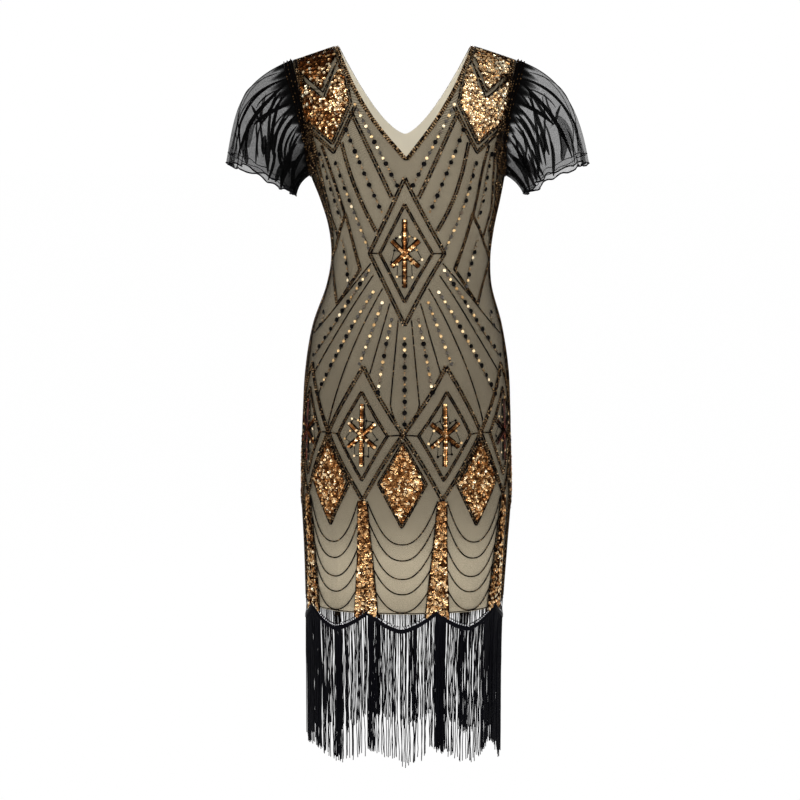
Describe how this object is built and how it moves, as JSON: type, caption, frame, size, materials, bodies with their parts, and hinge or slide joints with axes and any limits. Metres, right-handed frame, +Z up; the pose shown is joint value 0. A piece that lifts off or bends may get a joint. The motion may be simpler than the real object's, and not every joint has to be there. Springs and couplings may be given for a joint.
{
  "type": "flapper dress",
  "caption": "Knee-length flapper dress in beaded net over a plain lining, with a V neck, short gathered net sleeves and a scalloped hem with long fringe.",
  "frame": {"origin": "midway between the two neck points, where the wearer's shoulders hold the dress up", "axes": "+Z up towards the neck, -Y the dress's front, +X across it to the viewer's right when its front is seen"},
  "size_m": [0.5772, 0.2701, 1.143],
  "materials": {
    "lining": "smooth satin-like knit lining",
    "net": "fine sheer net with beads and sequins",
    "sleeve": "fine sheer net, gathered",
    "neck_band": "beaded binding",
    "fringe": "silky cord fringe"
  },
  "bodies": {
    "root": {"front_lining": "lining", "back_lining": "lining", "front_net": "net", "back_net": "net", "front_neck_band": "neck_band", "back_neck_band": "neck_band", "left_sleeve": "sleeve", "right_sleeve": "sleeve", "front_fringe": "fringe", "back_fringe": "fringe"}
  },
  "joints": []
}
